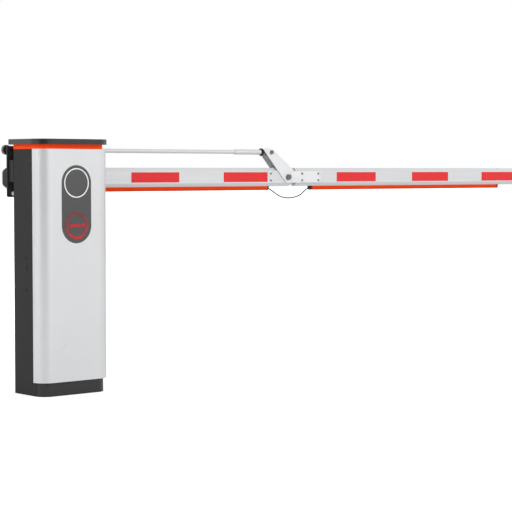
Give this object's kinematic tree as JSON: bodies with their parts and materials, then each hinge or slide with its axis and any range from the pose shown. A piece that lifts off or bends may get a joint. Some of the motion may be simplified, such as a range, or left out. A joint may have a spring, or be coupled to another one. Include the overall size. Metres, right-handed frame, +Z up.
{
  "type": "folding boom barrier",
  "caption": "Folding-arm boom barrier: a slim cabinet with a lit ring and a display, and a lit, banded boom in two sections that folds on a parallel linkage.",
  "frame": {"origin": "centre of the cabinet's underside, on the ground", "axes": "+X along the lowered boom, from the cabinet to its free end; -Y out of the cabinet's silver front; +Z up"},
  "size_m": [3.13, 0.314, 1],
  "materials": {
    "dark_paint": "satin powder coat",
    "silver_paint": "satin metallic powder coat",
    "orange_lens": "translucent diffuser, smooth",
    "lid_plastic": "satin powder coat",
    "panel_plastic": "smooth",
    "white_print": "smooth print",
    "red_lens": "smooth",
    "black_plastic": "fine moulded grain",
    "bracket_paint": "satin powder coat",
    "zinc_steel": "zinc plated",
    "black_steel": "blackened",
    "boom_aluminium": "anodised satin",
    "red_film": "retroreflective film",
    "cable_rubber": "matt",
    "lever_steel": "satin powder coat",
    "rod_steel": "satin"
  },
  "bodies": {
    "cabinet": {"base_plate": "dark_paint", "cabinet_body": "dark_paint", "front_cover": "silver_paint", "light_ring": "orange_lens", "cabinet_lid": "lid_plastic", "display_panel": "panel_plastic", "emblem_ring": "white_print", "stop_sign": "red_lens", "side_lock": "black_plastic", "pivot_bracket": "bracket_paint", "bracket_bolts": "zinc_steel", "bracket_spacers": "zinc_steel", "shaft_bearing": "bracket_paint", "anchor_stud": "black_steel", "anchor_nut": "zinc_steel"},
    "boom_inner": {"drive_shaft": "black_steel", "clamp_plate_front": "bracket_paint", "clamp_plate_rear": "bracket_paint", "clamp_bolts": "zinc_steel", "inner_boom": "boom_aluminium", "boom_tail_cap": "black_plastic", "inner_light_strip": "orange_lens", "inner_strip_caps": "black_plastic", "inner_reflectors": "red_film", "fold_bush": "zinc_steel", "loop_cable": "cable_rubber"},
    "boom_outer": {"outer_boom": "boom_aluminium", "boom_end_cap": "black_plastic", "fold_lever": "lever_steel", "fold_pin": "zinc_steel", "lever_pin": "zinc_steel", "lever_spacers": "zinc_steel", "strap_screws": "zinc_steel", "outer_light_strip": "orange_lens", "outer_strip_caps": "black_plastic", "outer_reflectors": "red_film"},
    "tie_rod": {"tie_rod_tube": "rod_steel", "adjuster_sleeve": "rod_steel", "anchor_rod_end": "zinc_steel", "lever_rod_end": "zinc_steel", "rod_end_balls": "zinc_steel", "jam_nuts": "black_steel"}
  },
  "joints": [
    {"name": "boom_pivot", "type": "hinge", "parent": "cabinet", "child": "boom_inner", "pos_m": [-0.042, 0.154, 0.848], "axis": [0, -1, 0], "range_deg": [0, 90]},
    {"name": "fold_pivot", "type": "hinge", "parent": "boom_inner", "child": "boom_outer", "pos_m": [1.338, 0.167, 0.848], "axis": [0, -1, 0], "range_deg": [-90, 0], "deforming": ["loop_cable"]},
    {"name": "rod_pivot", "type": "hinge", "parent": "cabinet", "child": "tie_rod", "pos_m": [-0.143, 0.167, 0.959], "axis": [0, -1, 0], "range_deg": [0, 90]}
  ],
  "couplings": [
    {"joint": "fold_pivot", "follows": "boom_pivot", "ratio": -1},
    {"joint": "rod_pivot", "follows": "boom_pivot", "ratio": 1}
  ]
}
